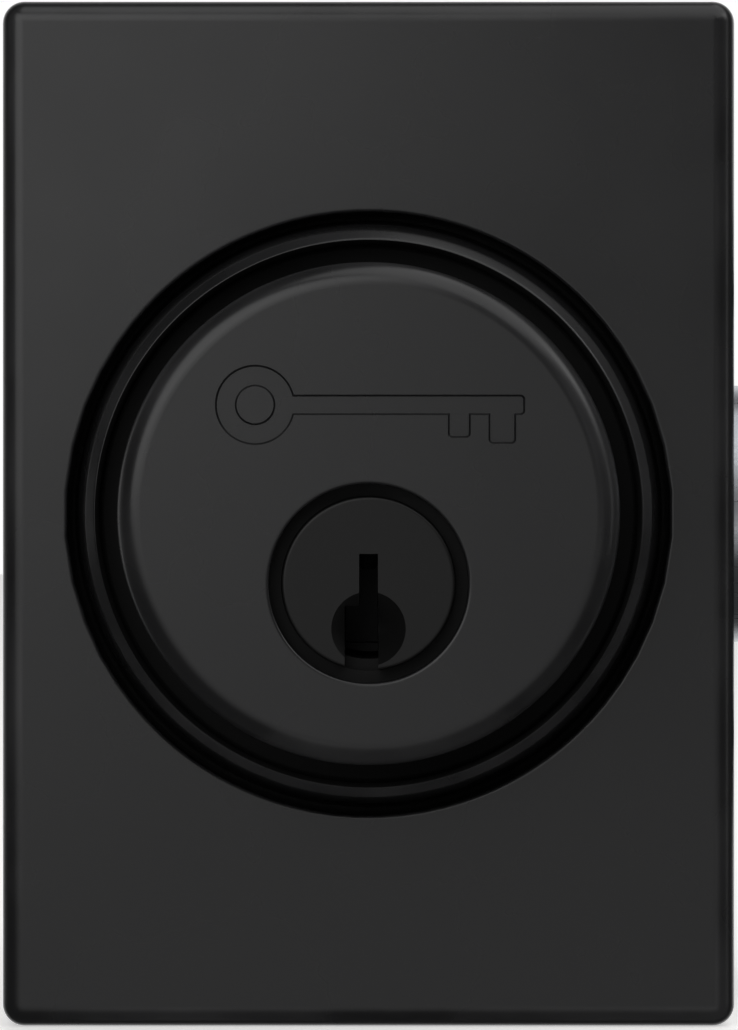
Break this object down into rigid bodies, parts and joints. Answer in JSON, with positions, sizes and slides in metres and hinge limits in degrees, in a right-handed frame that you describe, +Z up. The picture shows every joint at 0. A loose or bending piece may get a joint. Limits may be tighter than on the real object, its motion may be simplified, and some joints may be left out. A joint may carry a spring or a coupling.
{
  "type": "deadbolt door lock",
  "caption": "Single-cylinder deadbolt with rectangular trim: keyed cylinder outside, thumbturn inside, and a crank that slides a square bolt out of the door's edge.",
  "frame": {"origin": "centre of the cross bore on the outside face of the door, where the outside trim plate rests", "axes": "+X towards the door's edge and the way the bolt slides out, +Y from outside to inside through the door, +Z up"},
  "size_m": [0.0921, 0.0932, 0.0888],
  "materials": {
    "black_core": "dull black oxide on the brass shell and the key pins",
    "black_trim": "satin black powder coat on zinc die casting",
    "black_plug": "black oxide plating on brass, turned and polished",
    "black_screw": "black plated steel screw",
    "brass": "turned and broached brass",
    "zinc_steel": "zinc plated pressed steel",
    "hard_steel": "hardened steel, ground",
    "spring_steel": "spring steel, bright",
    "satin_bolt": "satin nickel on a solid bolt",
    "nylon": "moulded nylon"
  },
  "bodies": {
    "lock_frame": {"exterior_escutcheon": "black_trim", "cylinder_collar": "black_trim", "cylinder_housing": "black_trim", "drill_guard_pins": "hard_steel", "cylinder_shell": "black_core", "chamber_cover": "brass", "shell_retainer": "zinc_steel", "shell_retainer_screws": "zinc_steel", "detent_spring": "spring_steel", "case_outer": "zinc_steel", "case_inner": "zinc_steel", "case_rivets": "zinc_steel", "bolt_tube": "zinc_steel", "backing_plate": "zinc_steel", "faceplate": "black_trim", "faceplate_screws": "black_screw", "mounting_plate": "zinc_steel", "through_bolts": "zinc_steel", "interior_escutcheon": "black_trim", "escutcheon_screws": "black_screw", "thumbturn_bushing": "nylon", "thumbturn_washer": "spring_steel", "pin_spring_1": "spring_steel", "pin_spring_2": "spring_steel", "pin_spring_3": "spring_steel", "pin_spring_4": "spring_steel", "pin_spring_5": "spring_steel"},
    "turn": {"thumbturn": "black_trim", "thumbturn_clip": "spring_steel", "tailpiece": "zinc_steel", "crank": "zinc_steel", "crank_pin": "hard_steel"},
    "bolt": {"bolt": "satin_bolt", "bolt_core_pin": "hard_steel", "bolt_tail": "zinc_steel", "tail_rivet": "zinc_steel"},
    "plug": {"plug": "black_plug", "plug_cap": "brass"},
    "bottom_pin_1": {"bottom_pin_1": "black_core"},
    "driver_pin_1": {"driver_pin_1": "brass"},
    "bottom_pin_2": {"bottom_pin_2": "black_core"},
    "driver_pin_2": {"driver_pin_2": "brass"},
    "bottom_pin_3": {"bottom_pin_3": "black_core"},
    "driver_pin_3": {"driver_pin_3": "brass"},
    "bottom_pin_4": {"bottom_pin_4": "black_core"},
    "driver_pin_4": {"driver_pin_4": "brass"},
    "bottom_pin_5": {"bottom_pin_5": "black_core"},
    "driver_pin_5": {"driver_pin_5": "brass"}
  },
  "joints": [
    {"name": "thumbturn_turn", "type": "hinge", "parent": "lock_frame", "child": "turn", "pos_m": [0, 0.05, -0.00586], "axis": [0, 1, 0], "range_deg": [0, 90]},
    {"name": "bolt_slide", "type": "slide", "parent": "lock_frame", "child": "bolt", "axis": [1, 0, 0], "range_m": [0, 0.0254]},
    {"name": "plug_turn", "type": "hinge", "parent": "lock_frame", "child": "plug", "pos_m": [0, -0.01, -0.00586], "axis": [0, 1, 0], "range_deg": [-90, 90]},
    {"name": "bottom_pin_1_drop", "type": "slide", "parent": "plug", "child": "bottom_pin_1", "axis": [0, 0, -1], "range_m": [0, 0.0012]},
    {"name": "bottom_pin_2_drop", "type": "slide", "parent": "plug", "child": "bottom_pin_2", "axis": [0, 0, -1], "range_m": [0, 0.0012]},
    {"name": "bottom_pin_3_drop", "type": "slide", "parent": "plug", "child": "bottom_pin_3", "axis": [0, 0, -1], "range_m": [0, 0.0012]},
    {"name": "bottom_pin_4_drop", "type": "slide", "parent": "plug", "child": "bottom_pin_4", "axis": [0, 0, -1], "range_m": [0, 0.0012]},
    {"name": "bottom_pin_5_drop", "type": "slide", "parent": "plug", "child": "bottom_pin_5", "axis": [0, 0, -1], "range_m": [0, 0.0012]},
    {"name": "driver_pin_1_lift", "type": "slide", "parent": "lock_frame", "child": "driver_pin_1", "axis": [0, 0, 1], "range_m": [0, 0.0015], "stiffness_N_per_m": 100, "springref_m": -0.002, "deforming": ["pin_spring_1"]},
    {"name": "driver_pin_2_lift", "type": "slide", "parent": "lock_frame", "child": "driver_pin_2", "axis": [0, 0, 1], "range_m": [0, 0.0015], "stiffness_N_per_m": 100, "springref_m": -0.002, "deforming": ["pin_spring_2"]},
    {"name": "driver_pin_3_lift", "type": "slide", "parent": "lock_frame", "child": "driver_pin_3", "axis": [0, 0, 1], "range_m": [0, 0.0015], "stiffness_N_per_m": 100, "springref_m": -0.002, "deforming": ["pin_spring_3"]},
    {"name": "driver_pin_4_lift", "type": "slide", "parent": "lock_frame", "child": "driver_pin_4", "axis": [0, 0, 1], "range_m": [0, 0.0015], "stiffness_N_per_m": 100, "springref_m": -0.002, "deforming": ["pin_spring_4"]},
    {"name": "driver_pin_5_lift", "type": "slide", "parent": "lock_frame", "child": "driver_pin_5", "axis": [0, 0, 1], "range_m": [0, 0.0015], "stiffness_N_per_m": 100, "springref_m": -0.002, "deforming": ["pin_spring_5"]}
  ],
  "couplings": [
    {"joint": "bolt_slide", "follows": "thumbturn_turn", "m_per_rad": 0.01617},
    {"joint": "bottom_pin_2_drop", "follows": "bottom_pin_1_drop", "ratio": 1},
    {"joint": "driver_pin_2_lift", "follows": "driver_pin_1_lift", "ratio": 1},
    {"joint": "bottom_pin_3_drop", "follows": "bottom_pin_1_drop", "ratio": 1},
    {"joint": "driver_pin_3_lift", "follows": "driver_pin_1_lift", "ratio": 1},
    {"joint": "bottom_pin_4_drop", "follows": "bottom_pin_1_drop", "ratio": 1},
    {"joint": "driver_pin_4_lift", "follows": "driver_pin_1_lift", "ratio": 1},
    {"joint": "bottom_pin_5_drop", "follows": "bottom_pin_1_drop", "ratio": 1},
    {"joint": "driver_pin_5_lift", "follows": "driver_pin_1_lift", "ratio": 1}
  ]
}
